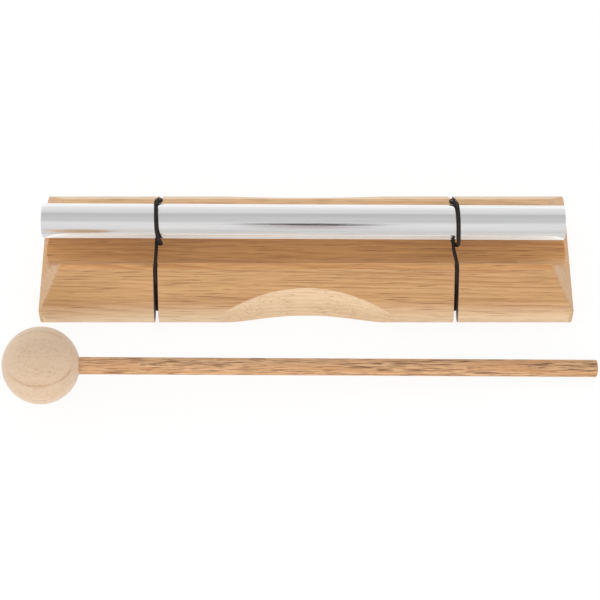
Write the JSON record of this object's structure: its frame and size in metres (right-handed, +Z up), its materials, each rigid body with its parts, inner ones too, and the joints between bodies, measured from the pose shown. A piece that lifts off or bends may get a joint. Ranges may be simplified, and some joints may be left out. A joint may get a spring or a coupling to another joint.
{
  "type": "chime bar",
  "caption": "Polished metal rod slung on elastic cords over a grooved hardwood block, with a wooden ball mallet lying in front of it.",
  "frame": {"origin": "middle of the block's underside, on the table", "axes": "+Z up, +X along the rod to the right of the player, the player and the mallet at -Y"},
  "size_m": [0.2312, 0.1004, 0.0403],
  "materials": {
    "block_wood": "oiled, fine sanded, straight grain along the block",
    "polished_metal": "polished, with faint drawing lines along the rod",
    "elastic_cord": "black braided elastic",
    "ball_wood": "bare turned wood, fine pores",
    "stick_wood": "bare turned dowel with open pores"
  },
  "bodies": {
    "base": {"base_block": "block_wood", "left_base_cord": "elastic_cord", "right_base_cord": "elastic_cord"},
    "bar": {"chime_bar": "polished_metal", "left_bar_cord": "elastic_cord", "right_bar_cord": "elastic_cord"},
    "mallet": {"mallet_head": "ball_wood", "mallet_stick": "stick_wood"}
  },
  "joints": [
    {"name": "bar_bounce", "type": "slide", "parent": "base", "child": "bar", "axis": [0, 0, 1], "range_m": [-0.0015, 0.0015], "stiffness_N_per_m": 1500, "springref_m": 0.00053, "deforming": ["left_base_cord", "right_base_cord"]},
    {"name": "mallet_lift", "type": "slide", "parent": "base", "child": "mallet", "axis": [0, 0, 1], "range_m": [0, 0.12]}
  ]
}
